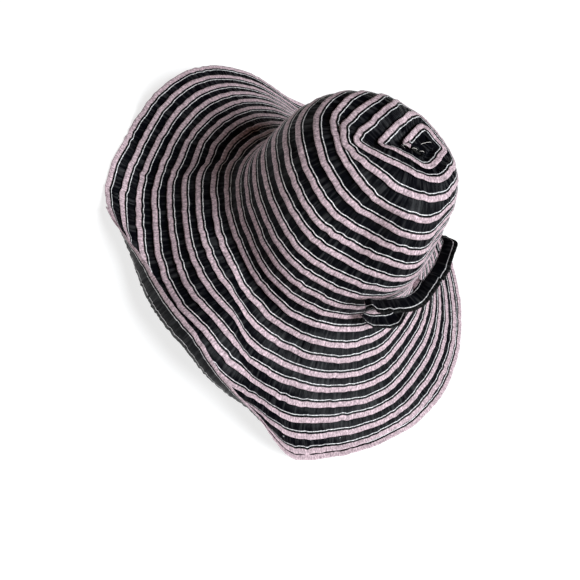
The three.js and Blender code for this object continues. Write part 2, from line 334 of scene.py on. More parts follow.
# %% [markdown]
# ## How a spiral hat begins
# The milliner starts the crown with a straight end of ribbon and turns the next lengths round it almost
# square, because a ribbon can't be bent in its own plane. The corners get rounder with each turn. So
# the path is drawn on the flattened hat: a rounded box at the tip that fades into a round spiral.

# %% Plan of the pink edge on the flattened hat
# A power of 2 would be a circle, and a higher one is boxier
BOX_POWER = 5.0
BOX_DEEPER = 5.0
BOX_CENTRE = np.array([1.5, 6.7])
BOX_SLANT = 0.55
BOX_SLANT_FADE = (-8.0, 34.0)
BOX_FADE = (-1.0, 2.4)
# Two opposite corners, in front at the right and behind at the left, soon get rounder
ROUNDER_SHARE = 0.7
ROUNDER_FADE = (-0.8, 0.2)
TURNING_FADE = (0.5, 3.0)
WANDERS = [
    # mm to either side, wavelength in mm, seed
    (0.40, 5.5, 7), (0.40, 22.0, 8), (0.50, 80.0, 9),
]
MARKS_PER_ROW = 20
ROW_MARKS = np.linspace(0, LAST_ROW, int(LAST_ROW * MARKS_PER_ROW) + 1)
mark_pitch = np.interp(ROW_MARKS, ROW_PITCH[:, 0], ROW_PITCH[:, 1])
mark_gaps = (mark_pitch[1:] + mark_pitch[:-1]) / 2 * np.diff(ROW_MARKS)
DISTANCE_MARKS = np.concatenate([[0], np.cumsum(mark_gaps)])
print("tip to rim along the cloth in mm: %.0f" % DISTANCE_MARKS[-1])


def box_spiral(wind, wander):
    """Pink edge in mm from the tip, on the flattened hat."""
    angle = np.radians(wind_turn(wind))
    distance = np.interp(edge_row(wind), ROW_MARKS, DISTANCE_MARKS) + wander
    boxy = 1 - smooth_step(wind, *BOX_FADE)
    rounder = np.clip(-2 * np.cos(angle) * np.sin(angle), 0, 1) * smooth_step(wind, *ROUNDER_FADE)
    power = 2 + (BOX_POWER - 2) * boxy * (1 - ROUNDER_SHARE * rounder)
    deep = distance + BOX_DEEPER * boxy
    side_part = (np.abs(np.cos(angle)) / distance) ** power
    deep_part = (np.abs(np.sin(angle)) / deep) ** power
    radius = (side_part + deep_part) ** (-1 / power)
    x, y = np.cos(angle) * radius, np.sin(angle) * radius
    y = y + BOX_SLANT * boxy * x * smooth_step(-y, *BOX_SLANT_FADE)
    return np.stack([x, y], -1) + BOX_CENTRE * boxy[:, None]


def edge_plan(wind, length):
    """Pink edge on the flattened hat, and the way that points in from it."""
    place = box_spiral(wind, 0.0)
    along = unit(np.gradient(place, axis=0))
    square = np.stack([along[:, 1], -along[:, 0]], -1)
    fade = smooth_step(wind, *TURNING_FADE)[:, None]
    wander = sum(size * wave_along(length, wavelength, seed) for size, wavelength, seed in WANDERS)
    return box_spiral(wind, wander), unit(square * (1 - fade) - unit(place) * fade)


# The ribbon's width is squeezed into this room at the box, and only the part past the kept width
CORNER_ROOM = 15.0
CORNER_ROOM_FADE = (-0.6, 1.5)
STRAIGHT_FADE = (-1.65, -1.45)
KEPT_WIDTH = 8.0


def inner_reach(wind, v):
    """Place across the path, v mm in from the pink edge; the first straight end has all its width."""
    room = CORNER_ROOM + (RIBBON_WIDTH - CORNER_ROOM) * smooth_step(wind, *CORNER_ROOM_FADE)
    room = room + (RIBBON_WIDTH - room) * (1 - smooth_step(wind, *STRAIGHT_FADE))
    squeezed = KEPT_WIDTH + (v - KEPT_WIDTH) * (room - KEPT_WIDTH) / (RIBBON_WIDTH - KEPT_WIDTH)
    return np.where(v < KEPT_WIDTH, v, squeezed)


# %% [markdown]
# ## From the flat plan to a strip of mesh
# Every place of the plan is looked up on the cloth: its distance from the tip gives the row. Near
# the floor the cloth is held up and the way off it turns upwards, because a soft brim flattens where
# it rests. The path has about 19,000 steps, so its mesh is written in one go from arrays of numbers,
# which is far quicker than adding faces one by one.

# %% From the plan to the hat's cloth
NEAREST_ROW = 0.02
FLOOR_SOFTNESS = 0.6


def on_cloth(plan):
    """Points in mm from the tip for places on the flattened hat, and the way off the cloth there."""
    distance = np.linalg.norm(plan, axis=-1)
    turn = np.degrees(np.arctan2(plan[..., 1], plan[..., 0]))
    row = np.maximum(np.interp(distance, DISTANCE_MARKS, ROW_MARKS), NEAREST_ROW)
    normal = cloth_normal(row, turn)
    point = cloth_outer(row, turn) - REFERENCE_DEPTH * normal
    under = (FLOOR_Z + FLOOR_LIFT) - point[..., 2]
    pressed = smooth_step(under, -FLOOR_SOFTNESS, FLOOR_SOFTNESS)[..., None]
    point[..., 2] += np.maximum(under, 0)
    normal = unit(normal * (1 - pressed) + np.array([0.0, 0.0, 1.0]) * pressed)
    return point, normal


def length_along(line):
    """Length from the first point to each point of a line."""
    return np.concatenate([[0], np.cumsum(np.linalg.norm(np.diff(line, axis=0), axis=1))])


print("ribbon's face at the tip, in mm:", on_cloth(np.zeros((1, 2)))[0][0].round(2))

# %% Walk the path in equal steps
FIRST_COUNT = 9000
# The length of a lapped ribbon is taken at a quarter of its width, near its seam
MEASURED_AT = RIBBON_WIDTH / 4
fine_wind = np.linspace(WIND_START, WIND_END, FIRST_COUNT)
fine_plan, fine_in = edge_plan(fine_wind, np.zeros(FIRST_COUNT))
fine_line, _ = on_cloth(fine_plan + fine_in * MEASURED_AT)
fine_length = length_along(fine_line)
RIBBON_LENGTH = fine_length[-1]
path_count = int(RIBBON_LENGTH / PATH_STEP) + 1
path_length = np.linspace(0, RIBBON_LENGTH, path_count)
path_wind = np.interp(path_length, fine_length, fine_wind)
path_plan, path_in = edge_plan(path_wind, path_length)
print("ribbon: %.2f m long, %d steps" % (RIBBON_LENGTH * MM, path_count))


# %% Turn a grid of points into a closed strip of mesh
QUAD = 4


def link_mesh(name, points, face_sets, uv=None):
    """A smooth mesh object at the origin, with its own UV map where uv gives one per point."""
    loops = np.concatenate([faces.ravel() for faces in face_sets])
    sizes = np.concatenate([np.full(len(faces), faces.shape[1]) for faces in face_sets])
    mesh = bpy.data.meshes.new(name)
    mesh.vertices.add(len(points))
    mesh.vertices.foreach_set("co", np.asarray(points, np.float32).ravel())
    mesh.loops.add(len(loops))
    mesh.loops.foreach_set("vertex_index", loops.astype(np.int32))
    mesh.polygons.add(len(sizes))
    mesh.polygons.foreach_set("loop_start", (np.cumsum(sizes) - sizes).astype(np.int32))
    mesh.update(calc_edges=True)
    if uv is not None:
        layer = mesh.uv_layers.new(name="ribbon")
        layer.data.foreach_set("uv", np.asarray(uv, np.float32)[loops].ravel())
    # Only the cut ends have faces of more than four corners, and they stay flat
    mesh.polygons.foreach_set("use_smooth", sizes <= QUAD)
    piece = bpy.data.objects.new(name, mesh)
    bpy.context.scene.collection.objects.link(piece)
    return piece


def strip_faces(steps, loop):
    """Faces of a tube of cross-sections with loop points each, closed at both ends."""
    a = np.arange(steps - 1)[:, None] * loop + np.arange(loop)[None, :]
    b = np.arange(steps - 1)[:, None] * loop + (np.arange(loop)[None, :] + 1) % loop
    ends = np.stack([np.arange(loop), steps * loop - 1 - np.arange(loop)])
    return [np.stack([a, a + loop, b + loop, b], -1).reshape(-1, 4), ends]


def triangles(mesh):
    """How many triangles the faces come to."""
    return len(mesh.loops) - 2 * len(mesh.polygons)


print("sides and ends of a tube of 3 squares:", [len(faces) for faces in strip_faces(3, 4)])


# %% The ribbon's cross-section at every step
TOP_V = np.array([0, 1.2, 3.5, 5.8, 7.3, 9.2, 11.0, 12.8, 14.6, 17.6, 21.0])
UNDER_V = np.array([21.0, 16.0, 11.0, 5.5, 0.0])
SIDE_WAVE = 0.4
# The first turns are smoothed across their width, since they bend sharply over the tip
TIP_SMOOTHING_ROUNDS = 4
TIP_SMOOTHING_SHARE = 0.5
TIP_SMOOTHING_MIDDLE = -2.0
TIP_SMOOTHING_FADE = (0.9, 1.4)
# Where the corners squeeze the ribbon, its pattern stops short of the far white line
SHOWN_AT_TIP = 16.2
SHOWN_MORE = 10.0
SHOWN_FADE = (2.5, 3.0)
section_v = np.concatenate([TOP_V, UNDER_V])
section_side = np.concatenate([np.ones(len(TOP_V)), -np.ones(len(UNDER_V))])
print("points in the cross-section:", len(section_v))


def ribbon_points(steps, v, side):
    """Points in mm from the tip on one side of the ribbon, and their length and width on its pattern."""
    wind = np.repeat(path_wind[steps, None], len(v), 1)
    length = np.repeat(path_length[steps, None], len(v), 1)
    across = inner_reach(wind, np.broadcast_to(v, wind.shape))
    reach = across + SIDE_WAVE * wave_along(length, *WAVES["side"])
    plan = path_plan[steps, None, :] + path_in[steps, None, :] * reach[..., None]
    point, normal = on_cloth(plan)
    from_tip = np.abs(wind[:, 1:-1] - TIP_SMOOTHING_MIDDLE)
    share = TIP_SMOOTHING_SHARE * (1 - smooth_step(from_tip, *TIP_SMOOTHING_FADE))[..., None]
    for _ in range(TIP_SMOOTHING_ROUNDS):
        inside = (point[:, :-2] + point[:, 2:]) / 2
        point[:, 1:-1] += share * (inside - point[:, 1:-1])
    lift = ribbon_lift(np.broadcast_to(v, wind.shape), length, wind) + side * RIBBON_THICKNESS / 2
    shown = SHOWN_AT_TIP + SHOWN_MORE * smooth_step(wind, *SHOWN_FADE)
    return point + normal * lift[..., None], length, np.minimum(across, shown)


# %% Lay the ribbon along the path, in four lengths
# Winds where one length ends and the next begins
SPLITS = [WIND_START, 9.0, 13.6, 17.2, WIND_END]


def ribbon_part(number, first, last):
    """One length of the long ribbon as a closed strip."""
    steps = slice(first, last + 1)
    top, length, top_across = ribbon_points(steps, TOP_V, 1)
    under, _, under_across = ribbon_points(steps, UNDER_V, -1)
    grid = (np.concatenate([top, under], axis=1) - MIDDLE) * MM
    along = np.repeat(length[:, :1], len(section_v), 1)
    across = np.concatenate([top_across, under_across], axis=1)
    uv = np.stack([along * MM, across * MM], -1).reshape(-1, 2)
    # The path winds clockwise, so the faces are turned round to look outwards
    face_sets = [faces[:, ::-1] for faces in strip_faces(len(grid), len(section_v))]
    piece = link_mesh("ribbon_rows_%d" % number, grid.reshape(-1, 3), face_sets, uv)
    lowest = grid[..., 2].min() / MM
    print(piece.name, "triangles:", triangles(piece.data), "lowest point in mm: %.2f" % lowest)
    return piece, length[-1, 0] - length[0, 0]


split_steps = np.searchsorted(path_wind, SPLITS)
split_steps[-1] = path_count - 1
ribbon_parts = [ribbon_part(i + 1, first, last)
                for i, (first, last) in enumerate(zip(split_steps, split_steps[1:]))]

# %% [markdown]
# ## The look of the ribbon
# Grosgrain is a ribbon with a fine silky warp and thick weft threads, so it has ribs straight across
# it and a dull shine. The stripes are woven in, so they show on both faces. The pattern reads the
# ribbon's own UV map: its first number is metres along the ribbon, its second metres across.


# %% One helper for nodes, one for colours
def srgb(code, alpha=1.0):
    """sRGB hex to the linear colour that shaders use."""
    parts = [int(code[i:i + 2], 16) / 255 for i in (0, 2, 4)]
    return (*[c / 12.92 if c <= 0.04045 else ((c + 0.055) / 1.055) ** 2.4 for c in parts], alpha)


def add(tree, kind, inputs=(), **settings):
    """Adds a node: settings are its properties, inputs its values or the sockets linked to it."""
    node = tree.nodes.new(kind)
    for name, value in settings.items():
        setattr(node, name, value)
    for key, value in dict(inputs).items():
        if isinstance(value, bpy.types.NodeSocket):
            tree.links.new(value, node.inputs[key])
        else:
            node.inputs[key].default_value = value
    return node


print("half of full sRGB is %.2f of full light" % srgb("808080")[0])


# %% Sizes and colours of the weave
# Polyester grosgrain is dull, with a weak shine on its ribs and deep blacks between them.
# Its real ribs, 0.5 mm apart, are too fine for the render, so they are drawn about twice as coarse
RIB_SPACING = 1.1
RIB_HEIGHT = 0.12
RIB_STRENGTH = 0.35
STRIPES = [
    # mm from the pink edge where the stripe starts, colour
    (0.0, "c7b0b7"), (4.5, "020203"), (6.35, "f4f2f4"),
    (6.88, "05060c"), (16.9, "f4f2f4"), (17.5, "020203"),
]
STRIPE_SOFTNESS = 0.12
# Stripe edges of a woven ribbon wander by a thread or two
STRIPE_WANDER = 0.5
WANDER_NOISE = {"Scale": 0.35, "Detail": 1.0}
# Ribs catch light one by one, so the colour is mottled in short dashes. Cells are per mm along and across
DASH_CELLS = (0.8, 0.4, 1.0)
DASH_NOISE = {"Scale": 1.0, "Detail": 2.0, "Roughness": 0.6}
DASH_SHADE = {"From Min": 0.34, "From Max": 0.62, "To Min": 0.46, "To Max": 1.2}
DASH_HEIGHT = 0.35
DASH_STRENGTH = 0.5
# Gathers show as long streaks across the ribbon: painted shade and light that darken or lighten its
# colour, and a soft grey painted highlight that shows on the black band
STREAK_CELLS = (0.42, 0.05, 1.0)
STREAK_NOISE = {"Scale": 1.0, "Detail": 1.0}
STREAK_PAINTED_SHADE = {"From Min": 0.38, "From Max": 0.62, "To Min": 0.82, "To Max": 1.12}
STREAK_PAINTED_HIGHLIGHT = {"From Min": 0.50, "From Max": 0.68, "To Min": 0.0, "To Max": 0.020}
FIBRE_IOR = 1.5
RIBBON_ROUGHNESS = 0.42
RIBBON_SPECULAR = 0.07
print("stripes:", len(STRIPES), "rib spacing in mm:", RIB_SPACING)


# %% Woven striped grosgrain
def striped_grosgrain():
    """The ribbon's material, with its pattern in mm along and across the ribbon."""
    material = bpy.data.materials.new("striped_grosgrain_ribbon")
    material.use_nodes = True
    tree = material.node_tree
    tree.nodes.clear()
    uv = add(tree, "ShaderNodeUVMap", uv_map="ribbon")
    parts = add(tree, "ShaderNodeSeparateXYZ", {0: uv.outputs[0]})
    along = add(tree, "ShaderNodeMath", {0: parts.outputs[0], 1: 1 / MM}, operation="MULTIPLY")
    across = add(tree, "ShaderNodeMath", {0: parts.outputs[1], 1: 1 / MM}, operation="MULTIPLY")
    # Stripes, by the place across the ribbon
    wander_at = add(tree, "ShaderNodeCombineXYZ", {"X": along.outputs[0]})
    wander = add(tree, "ShaderNodeTexNoise", {"Vector": wander_at.outputs[0], **WANDER_NOISE})
    wandered = add(tree, "ShaderNodeMath", {0: wander.outputs[0], 1: STRIPE_WANDER, 2: across.outputs[0]},
                   operation="MULTIPLY_ADD")
    share = add(tree, "ShaderNodeMapRange", {
        "Value": wandered.outputs[0], "From Min": STRIPE_WANDER / 2,
        "From Max": RIBBON_WIDTH + STRIPE_WANDER / 2})
    ramp = add(tree, "ShaderNodeValToRGB", {0: share.outputs[0]})
    soft = STRIPE_SOFTNESS / RIBBON_WIDTH
    elements = ramp.color_ramp.elements
    elements[0].color = srgb(STRIPES[0][1])
    elements[1].position = 1.0
    elements[1].color = srgb(STRIPES[-1][1])
    for (_, before), (start, after) in zip(STRIPES, STRIPES[1:]):
        elements.new(start / RIBBON_WIDTH - soft).color = srgb(before)
        elements.new(start / RIBBON_WIDTH + soft).color = srgb(after)
    # Dashes, and streaks of painted shade and painted highlight
    cloth_at = add(tree, "ShaderNodeCombineXYZ", {"X": along.outputs[0], "Y": across.outputs[0]})
    dash_at = add(tree, "ShaderNodeMapping", {"Vector": cloth_at.outputs[0], "Scale": DASH_CELLS})
    dash = add(tree, "ShaderNodeTexNoise", {"Vector": dash_at.outputs[0], **DASH_NOISE})
    dash_shade = add(tree, "ShaderNodeMapRange", {"Value": dash.outputs[0], **DASH_SHADE})
    streak_at = add(tree, "ShaderNodeMapping", {"Vector": cloth_at.outputs[0], "Scale": STREAK_CELLS})
    streak = add(tree, "ShaderNodeTexNoise", {"Vector": streak_at.outputs[0], **STREAK_NOISE})
    # The streaks' painted shade multiplies the colour, and their painted highlight is added to it
    gather_painted_shade = add(tree, "ShaderNodeMapRange", {"Value": streak.outputs[0], **STREAK_PAINTED_SHADE})
    gather_painted_highlight = add(tree, "ShaderNodeMapRange", {"Value": streak.outputs[0], **STREAK_PAINTED_HIGHLIGHT})
    shade = add(tree, "ShaderNodeMath", {0: dash_shade.outputs[0], 1: gather_painted_shade.outputs[0]},
                operation="MULTIPLY")
    mottled = add(tree, "ShaderNodeVectorMath", {0: ramp.outputs[0], 1: shade.outputs[0]},
                  operation="MULTIPLY")
    lit = add(tree, "ShaderNodeVectorMath", {0: mottled.outputs[0], 1: gather_painted_highlight.outputs[0]},
              operation="ADD")
    # Ribs straight across the ribbon
    rib_phase = add(tree, "ShaderNodeMath", {0: along.outputs[0], 1: 2 * math.pi / RIB_SPACING},
                    operation="MULTIPLY")
    rib = add(tree, "ShaderNodeMath", {0: rib_phase.outputs[0]}, operation="SINE")
    ribbed = add(tree, "ShaderNodeBump", {
        "Height": rib.outputs[0], "Strength": RIB_STRENGTH, "Distance": RIB_HEIGHT * MM})
    woven = add(tree, "ShaderNodeBump", {
        "Height": dash.outputs[0], "Strength": DASH_STRENGTH, "Distance": DASH_HEIGHT * MM,
        "Normal": ribbed.outputs[0]})
    cloth = add(tree, "ShaderNodeBsdfPrincipled", {
        "Base Color": lit.outputs[0], "Roughness": RIBBON_ROUGHNESS, "IOR": FIBRE_IOR,
        "Specular IOR Level": RIBBON_SPECULAR, "Normal": woven.outputs[0]})
    add(tree, "ShaderNodeOutputMaterial", {0: cloth.outputs[0]})
    return material


GROSGRAIN = striped_grosgrain()
print("nodes in the ribbon's material:", len(GROSGRAIN.node_tree.nodes))

# %% Put the ribbon rows in place of the plain solid
for piece, _ in ribbon_parts:
    piece.data.materials.append(GROSGRAIN)
    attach(piece, "root")
    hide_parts("crown_and_brim")
print("lengths of ribbon in place:", len(ribbon_parts))

# %% [markdown]
# ## The seam
# One line of machine stitches runs along the pink edge of every row and holds it to the row below, so
# it is as long as the ribbon itself. A line of points that follows the ribbon carries the direction
# that is up there. Geometry Nodes walks along it in equal steps and lays a small thread loop at each.

# %% Sizes and colour of the thread
STITCH_SPACING = 3.6
STITCH_SIZE = (2.5, 0.42, 0.34)
STITCH_CHANGE = (0.75, 1.1)
STITCH_V = 2.2
STITCH_SEED = 5
# The line of stitches stops this many steps short of the ends of each length
SEAM_ENDS = 2
# The ribbon's slope at the seam is read between two lines this far apart in mm
SEAM_BESIDE = 0.5


def plain_thread(name, colour, roughness):
    """Spun thread is slightly hairy, so it scatters light and has hardly any shine."""
    material = bpy.data.materials.new(name)
    material.use_nodes = True
    shader = material.node_tree.nodes["Principled BSDF"]
    shader.inputs["Base Color"].default_value = srgb(colour)
    shader.inputs["Roughness"].default_value = roughness
    shader.inputs["IOR"].default_value = FIBRE_IOR
    return material


# Dull pink, a little darker than the ribbon's edge, so that the seam only shows from close by
SEAM_THREAD = plain_thread("pink_spun_polyester_thread", "a8919a", 0.7)
print("stitch spacing in mm:", STITCH_SPACING)


# %% The node tree that lays the stitches
TREE_INPUTS = {
    "Line": "NodeSocketGeometry",
    "Spacing": "NodeSocketFloat",
    "Size": "NodeSocketVector",
    "Seed": "NodeSocketInt",
    "Thread": "NodeSocketMaterial",
}


def stitch_tree():
    """A tree that turns a line of points into stitches, each one a ball drawn out along the line."""
    tree = bpy.data.node_groups.new("lay_stitches", "GeometryNodeTree")
    for label, kind in TREE_INPUTS.items():
        tree.interface.new_socket(label, in_out="INPUT", socket_type=kind)
    tree.interface.new_socket("Stitches", in_out="OUTPUT", socket_type="NodeSocketGeometry")
    given = add(tree, "NodeGroupInput")
    curve = add(tree, "GeometryNodeMeshToCurve", {"Mesh": given.outputs["Line"]})
    points = add(tree, "GeometryNodeCurveToPoints", {"Curve": curve.outputs[0],
                                                     "Length": given.outputs["Spacing"]}, mode="LENGTH")
    up = add(tree, "GeometryNodeInputNamedAttribute", {"Name": "up"}, data_type="FLOAT_VECTOR")
    turned = add(tree, "FunctionNodeAxesToRotation", {
        "Primary Axis": points.outputs["Tangent"], "Secondary Axis": up.outputs[0]},
        primary_axis="X", secondary_axis="Z")
    # Inputs 2 and 3 are the least and the most of a random number, 0 and 1 those of a vector
    change = add(tree, "FunctionNodeRandomValue", {
        2: STITCH_CHANGE[0], 3: STITCH_CHANGE[1], "Seed": given.outputs["Seed"]}, data_type="FLOAT")
    size = add(tree, "ShaderNodeVectorMath", {0: given.outputs["Size"], "Scale": change.outputs[1]},
               operation="SCALE")
    # A ball one unit across takes the stitch's size as its scale
    loop = add(tree, "GeometryNodeMeshIcoSphere", {"Radius": 0.5, "Subdivisions": 1})
    laid = add(tree, "GeometryNodeInstanceOnPoints", {
        "Points": points.outputs["Points"], "Instance": loop.outputs[0], "Rotation": turned.outputs[0],
        "Scale": size.outputs[0]})
    real = add(tree, "GeometryNodeRealizeInstances", {0: laid.outputs[0]})
    dyed = add(tree, "GeometryNodeSetMaterial", {"Geometry": real.outputs[0],
                                                 "Material": given.outputs["Thread"]})
    add(tree, "NodeGroupOutput", {0: dyed.outputs[0]})
    return tree


STITCH_TREE = stitch_tree()
print("nodes in the stitch tree:", len(STITCH_TREE.nodes))


# %% Lay the stitches of each length of ribbon
def cloth_up(steps):
    """Way off the cloth under the seam, to keep the stitches on the ribbon's outer face."""
    _, normal = on_cloth(path_plan[steps] + path_in[steps] * STITCH_V)
    return normal


def seam_stitches(number, first, last):
    """The stitches along one length of ribbon, as a plain mesh."""
    steps = slice(first + SEAM_ENDS, last + 1 - SEAM_ENDS)
    top, _, _ = ribbon_points(steps, np.array([STITCH_V, STITCH_V + SEAM_BESIDE]), 1)
    line, beside = top[:, 0], top[:, 1]
    up = unit(np.cross(beside - line, np.gradient(line, axis=0)))
    up = up * np.sign(np.sum(up * cloth_up(steps), axis=1, keepdims=True))
    mesh = bpy.data.meshes.new("seam_stitches_%d" % number)
    mesh.from_pydata((line - MIDDLE) * MM, [(i, i + 1) for i in range(len(line) - 1)], [])
    layer = mesh.attributes.new("up", "FLOAT_VECTOR", "POINT")
    layer.data.foreach_set("vector", up.astype(np.float32).ravel())
    piece = bpy.data.objects.new("seam_stitches_%d" % number, mesh)
    bpy.context.scene.collection.objects.link(piece)
    modifier = piece.modifiers.new("lay_stitches", "NODES")
    modifier.node_group = STITCH_TREE
    values = {"Spacing": STITCH_SPACING * MM, "Size": [v * MM for v in STITCH_SIZE],
              "Seed": STITCH_SEED, "Thread": SEAM_THREAD}
    for item in STITCH_TREE.interface.items_tree:
        if item.in_out == "INPUT" and item.name in values:
            modifier[item.identifier] = values[item.name]
    evaluated = piece.evaluated_get(bpy.context.evaluated_depsgraph_get())
    laid = bpy.data.meshes.new_from_object(evaluated)
    piece.modifiers.clear()
    piece.data = laid
    laid.shade_smooth()
    print(piece.name, "triangles:", triangles(laid))
    return piece


stitch_parts = [seam_stitches(i + 1, first, last)
                for i, (first, last) in enumerate(zip(split_steps, split_steps[1:]))]

# %% Put the stitches in place and print the flat ribbon's size
for stitches in stitch_parts:
    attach(stitches, "root")
    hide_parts("crown_and_brim")
print("flat ribbon in mm: %.0f x %.0f" % (RIBBON_WIDTH, sum(length for _, length in ribbon_parts)))


# %% [markdown]
# ## Hand tacks
# The start of the ribbon is tacked down by hand with white thread. Each stitch is a thin round
# thread along a smooth curve through a few points: places on the flattened hat and heights over it.
# It begins and ends in the cloth. A tube of six sides is enough for a thread this thin.

# %% A smooth curve through a few points
def smooth_line(points, count):
    """Centripetal curve through the points, as count points."""
    points = np.vstack([2 * points[0] - points[1], points, 2 * points[-1] - points[-2]])
    result = []
    segments = len(points) - 3
    for place in np.linspace(0, segments, count):
        i = min(int(place), segments - 1)
        p0, p1, p2, p3 = points[i:i + 4]
        gaps = [np.linalg.norm(b - a) ** 0.5 for a, b in ((p0, p1), (p1, p2), (p2, p3))]
        t1, t2 = gaps[0], gaps[0] + gaps[1]
        t3 = t2 + gaps[2]
        t = t1 + (place - i) * gaps[1]
        a1 = (t1 - t) / t1 * p0 + t / t1 * p1
        a2 = (t2 - t) / gaps[1] * p1 + (t - t1) / gaps[1] * p2
        a3 = (t3 - t) / gaps[2] * p2 + (t - t2) / gaps[2] * p3
        b1 = (t2 - t) / t2 * a1 + t / t2 * a2
        b2 = (t3 - t) / (t3 - t1) * a2 + (t - t1) / (t3 - t1) * a3
        result.append((t2 - t) / gaps[1] * b1 + (t - t1) / gaps[1] * b2)
    return np.array(result)


print("a straight line stays straight:", smooth_line(np.array([(0.0, 0), (1, 0), (2, 0)]), 5)[:, 1])


# %% White threads
THREAD_RADIUS = 0.2
THREAD_SIDES = 6
THREAD_STEPS = 24
THREADS = {
    # mm right of the tip, mm behind it, mm over the base
    "tack_thread_1": [(-6.5, -12.5, 0.6), (-6, -12, 1.5), (-3.5, -10, 1.5), (-3, -9.6, 0.6)],
    "tack_thread_2": [(-0.5, -7.5, 0.6), (0, -7, 1.5), (2.5, -4.6, 1.5), (3, -4.2, 0.6)],
    "tack_thread_3": [(5, -2.8, 0.6), (5.4, -2.4, 1.5), (7.2, -0.4, 1.5), (7.6, 0, 0.6)],
    "tack_thread_4": [(1, 4, 0.6), (1.6, 5.5, 1.5), (4.4, 14, 1.5), (5, 15.5, 0.6)],
}
# Heights of the thread count from half way between the ribbon's face and the CAD cloth's outer face
THREAD_BASE = REFERENCE_DEPTH / 2
# Dull, and less bright than a pure white, as cotton is
WHITE_THREAD = plain_thread("white_cotton_thread", "cdc8c2", 0.75)


def thread_tube(name, table):
    """One hand stitch as a closed tube along a smooth curve."""
    places = np.array(table, float)
    point, normal = on_cloth(places[:, :2])
    line = smooth_line(point + normal * (THREAD_BASE + places[:, 2:]), THREAD_STEPS)
    along = unit(np.gradient(line, axis=0))
    side = unit(np.cross(along, normal.mean(0)))
    top = np.cross(side, along)
    angle = np.arange(THREAD_SIDES) * 2 * math.pi / THREAD_SIDES
    sideways = side[:, None, :] * np.cos(angle)[None, :, None]
    ring = sideways + top[:, None, :] * np.sin(angle)[None, :, None]
    grid = (line[:, None, :] + THREAD_RADIUS * ring - MIDDLE) * MM
    piece = link_mesh(name, grid.reshape(-1, 3), strip_faces(len(line), THREAD_SIDES))
    piece.data.materials.append(WHITE_THREAD)
    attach(piece, "root")
    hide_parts("crown_and_brim")
    return piece


threads = [thread_tube(name, table) for name, table in THREADS.items()]
print("threads:", len(threads))

# %% [markdown]
# ## The bow
# The bow at the side is three lengths of the same ribbon, pink edge at the crown and black edge free,
# standing off like a loose collar. Each is a strip between two curves, one along its foot and one
# along its free edge, from short tables like those of the CAD solids. A hem folds the pink edge under,
# and a pinch narrows the ends where they are gathered and sewn down.

# %% Tables of the bow
BOW_FOOT_LIFT = 1.2
BOW_STEPS = 110
BOW_HEM = 5.6
# The folded hem comes back a little short, and lies this far under the ribbon, more at its edge
HEM_BACK_SHARE = 0.8
HEM_GAP = 0.8
HEM_GAP_GROWTH = 0.1
# The free edge waves up and down; the foot, sewn down, waves less
BOW_WAVE = 1.5
BOW_WAVE_LENGTH = 4.5
BOW_WAVE_AT_FOOT = 0.3
BOW_WAVES_APART = 40
FIRST_BOW_SEED = 11
BOW_FOLDS = {
    # share of the length where the hem starts and is full, mm that the foot is off, arch in mm
    "bow_back_strip": (-0.3, -0.1, 0.0, 1.6),
    "bow_front_strip": (0.16, 0.34, 0.0, 1.2),
    "bow_lower_loop": (1.1, 1.3, 1.0, 3.2),
}
BOW_PINCHES = {
    # width left at the first end, at the last end, share of the length that each pinch takes
    "bow_back_strip": (0.55, 1.0, 0.2),
    "bow_front_strip": (0.8, 0.72, 0.2),
    "bow_lower_loop": (0.8, 0.7, 0.25),
}
BOW = {
    # turn, foot row, degrees that the ribbon rises, degrees round the hat that it points to
    "bow_back_strip": [
        (26, 8.4, 58, 304), (20, 8.2, 62, 328), (13, 8.4, 50, 340), (8, 8.9, 48, 352),
        (2, 9.3, 44, 350), (-6, 9.2, 41, 341), (-9.5, 9.4, 22, 338)],
    "bow_front_strip": [
        (352.5, 9.2, 38, 337), (349.5, 9.4, 28, 350), (346, 9.6, 16, 354), (341, 9.8, 10, 350),
        (335, 9.65, 14, 340), (329, 9.7, 20, 326), (322, 9.9, 22, 312), (316, 10.2, 24, 302)],
    "bow_lower_loop": [
        (328, 11.8, 20, 258), (332, 11.8, 12, 280), (336, 11.8, 8, 300), (340, 11.9, 8, 318),
        (344, 12.0, 18, 340), (348, 12.0, 40, 366)],
}
print("bow strips:", list(BOW))


# %% The bow's two guiding curves
def bow_edges(stations):
    """The foot line on the cloth and the free edge, one ribbon's width away from it."""
    table = np.array(stations, float)
    turn, row = table[:, 0], table[:, 1]
    rise, heading = np.radians(table[:, 2]), np.radians(table[:, 3])
    feet = cloth_outer(row, turn) + BOW_FOOT_LIFT * cloth_normal(row, turn)
    level = np.cos(rise)
    reach = np.stack([level * np.cos(heading), level * np.sin(heading), np.sin(rise)], -1)
    return smooth_line(feet, BOW_STEPS), smooth_line(feet + RIBBON_WIDTH * reach, BOW_STEPS)


def pinched_share(share, first, last, pinched):
    """Share of the ribbon's width that is left along the strip, less at its gathered ends."""
    first_pinch = (1 - first) * (1 - smooth_step(share, 0, pinched))
    last_pinch = (1 - last) * smooth_step(share, 1 - pinched, 1)
    return 1 - first_pinch - last_pinch


for strip_name, strip_stations in BOW.items():
    print(strip_name, "foot in mm: %.0f" % length_along(bow_edges(strip_stations)[0])[-1])


